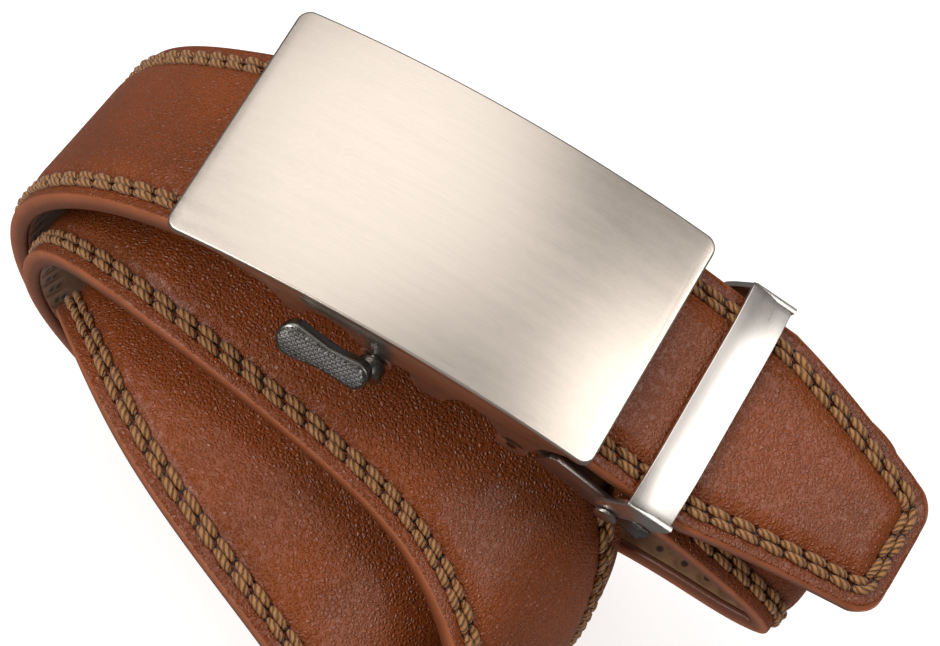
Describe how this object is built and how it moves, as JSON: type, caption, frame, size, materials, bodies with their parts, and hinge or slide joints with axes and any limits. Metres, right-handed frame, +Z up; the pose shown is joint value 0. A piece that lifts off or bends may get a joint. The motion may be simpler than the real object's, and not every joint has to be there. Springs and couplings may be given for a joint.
{
  "type": "ratchet belt",
  "caption": "Buckled leather waist belt with a ratchet track, a curved plate buckle with side release lever, and a keeper, lying in a folded coil.",
  "frame": {"origin": "centre of the bottom of the belt's box, on the surface that it lies on", "axes": "+X along the buckle's face plate towards the strap's tip, +Y across the strap to the edge away from the release lever, +Z up out of the face plate"},
  "size_m": [0.1458, 0.0876, 0.1057],
  "materials": {
    "face_leather": "glossy pebbled grain",
    "lining_leather": "matt",
    "track_resin": "satin",
    "brushed_nickel": "brushed",
    "dark_nickel": "brushed",
    "gunmetal": "dark satin"
  },
  "bodies": {
    "belt": {"strap_face": "face_leather", "strap_lining": "lining_leather", "ratchet_track": "track_resin", "buckle_frame": "brushed_nickel", "clip_base": "dark_nickel", "hinge_pin": "dark_nickel", "clamp_jaw": "gunmetal", "keeper": "brushed_nickel", "keeper_rivet_near": "dark_nickel", "keeper_rivet_far": "dark_nickel"},
    "lever": {"release_lever": "gunmetal"}
  },
  "joints": [
    {"name": "release_lever_hinge", "type": "hinge", "parent": "belt", "child": "lever", "pos_m": [-0.00864, 0.02234, 0.09432], "axis": [0, 1, 0], "range_deg": [0, 12], "stiffness_Nm_per_rad": 0.02, "springref_deg": -17.19}
  ]
}
